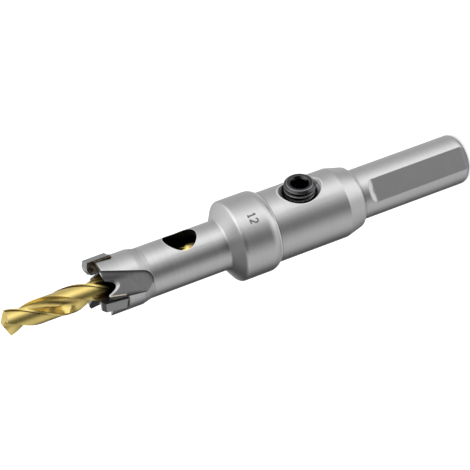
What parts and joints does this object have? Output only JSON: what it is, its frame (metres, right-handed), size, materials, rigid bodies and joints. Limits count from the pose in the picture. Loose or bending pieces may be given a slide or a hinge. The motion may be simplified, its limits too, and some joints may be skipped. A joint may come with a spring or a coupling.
{
  "type": "hole saw",
  "caption": "Carbide-tipped hole saw: slotted cup with brazed teeth, pilot drill held by a set screw, stop flange and flatted shank.",
  "frame": {"origin": "centre of the shank's end face", "axes": "+Z along the tool axis, from the shank end to the teeth and the pilot drill; one chuck flat faces -Y"},
  "size_m": [0.016, 0.016, 0.0977],
  "materials": {
    "body_steel": "satin turned steel",
    "drill_coating": "gold nitride coating, ground",
    "screw_black": "glossy black oxide",
    "carbide": "ground carbide"
  },
  "bodies": {
    "root": {"cutter_body": "body_steel", "pilot_drill": "drill_coating", "set_screw": "screw_black", "carbide_tooth_1": "carbide", "carbide_tooth_2": "carbide", "carbide_tooth_3": "carbide"}
  },
  "joints": []
}
